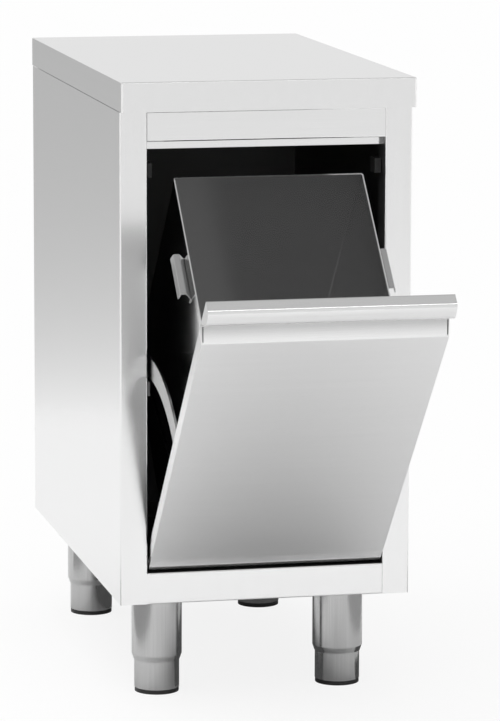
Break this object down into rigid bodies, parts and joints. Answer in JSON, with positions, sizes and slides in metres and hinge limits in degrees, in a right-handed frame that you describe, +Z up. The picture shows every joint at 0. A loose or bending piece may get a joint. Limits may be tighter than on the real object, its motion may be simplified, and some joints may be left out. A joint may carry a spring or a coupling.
{
  "type": "waste bin cabinet",
  "caption": "Stainless waste cabinet with a tilt-out door that carries a lift-out bin, on levelling legs.",
  "frame": {"origin": "on the floor, under the middle of the whole object with its door out", "axes": "+Z up, front faces -Y, +X to the right seen from the front"},
  "size_m": [0.4, 1.0576, 0.85],
  "materials": {
    "stainless_worktop": "fine brushed stainless sheet",
    "stainless_panel": "fine brushed stainless sheet",
    "stainless_door": "fine brushed stainless sheet",
    "stainless_bin": "mill-finish stainless sheet",
    "stainless_leg": "satin stainless tube",
    "inner_steel": "plain steel",
    "zinc": "bright zinc plate",
    "board": "raw particle board",
    "black_plastic": "moulded",
    "black_rubber": "moulded"
  },
  "bodies": {
    "cabinet": {"worktop": "stainless_worktop", "worktop_board": "board", "worktop_brackets": "inner_steel", "worktop_screws": "zinc", "side_panel_left": "stainless_panel", "side_panel_right": "stainless_panel", "back_panel": "stainless_panel", "top_rail": "stainless_panel", "bottom_rail": "stainless_panel", "floor_panel": "stainless_panel", "rear_rail": "inner_steel", "leg_plate_front": "inner_steel", "leg_plate_rear": "inner_steel", "stud_nuts": "zinc", "leg_heads": "zinc", "hinge_bush_left": "black_plastic", "hinge_bush_right": "black_plastic", "stay_stop_left": "inner_steel", "stay_stop_right": "inner_steel", "stop_screws": "zinc", "door_bumper_left": "black_rubber", "door_bumper_right": "black_rubber", "leg_sleeve_front_left": "stainless_leg", "leg_sleeve_front_right": "stainless_leg", "leg_sleeve_rear_left": "stainless_leg", "leg_sleeve_rear_right": "stainless_leg"},
    "door": {"door_skin": "stainless_door", "door_liner": "stainless_door", "hinge_pin_left": "stainless_leg", "hinge_pin_right": "stainless_leg", "door_stay_left": "stainless_door", "door_stay_right": "stainless_door", "bin_carrier": "stainless_bin"},
    "bin": {"bin_shell": "stainless_bin", "bin_handle_left": "stainless_bin", "bin_handle_right": "stainless_bin"},
    "foot_front_left": {"foot_tube_front_left": "stainless_leg", "foot_pad_front_left": "black_plastic", "foot_spindle_front_left": "zinc"},
    "foot_front_right": {"foot_tube_front_right": "stainless_leg", "foot_pad_front_right": "black_plastic", "foot_spindle_front_right": "zinc"},
    "foot_rear_left": {"foot_tube_rear_left": "stainless_leg", "foot_pad_rear_left": "black_plastic", "foot_spindle_rear_left": "zinc"},
    "foot_rear_right": {"foot_tube_rear_right": "stainless_leg", "foot_pad_rear_right": "black_plastic", "foot_spindle_rear_right": "zinc"}
  },
  "joints": [
    {"name": "door_tilt", "type": "hinge", "parent": "cabinet", "child": "door", "pos_m": [0, -0.146, 0.2035], "axis": [1, 0, 0], "range_deg": [-43.5, 0]},
    {"name": "bin_lift", "type": "slide", "parent": "door", "child": "bin", "axis": [0, -0.6884, 0.7254], "range_m": [0, 0.15]},
    {"name": "foot_level_front_left", "type": "slide", "parent": "cabinet", "child": "foot_front_left", "axis": [0, 0, 1], "range_m": [-0.02, 0.02]},
    {"name": "foot_level_front_right", "type": "slide", "parent": "cabinet", "child": "foot_front_right", "axis": [0, 0, 1], "range_m": [-0.02, 0.02]},
    {"name": "foot_level_rear_left", "type": "slide", "parent": "cabinet", "child": "foot_rear_left", "axis": [0, 0, 1], "range_m": [-0.02, 0.02]},
    {"name": "foot_level_rear_right", "type": "slide", "parent": "cabinet", "child": "foot_rear_right", "axis": [0, 0, 1], "range_m": [-0.02, 0.02]}
  ]
}
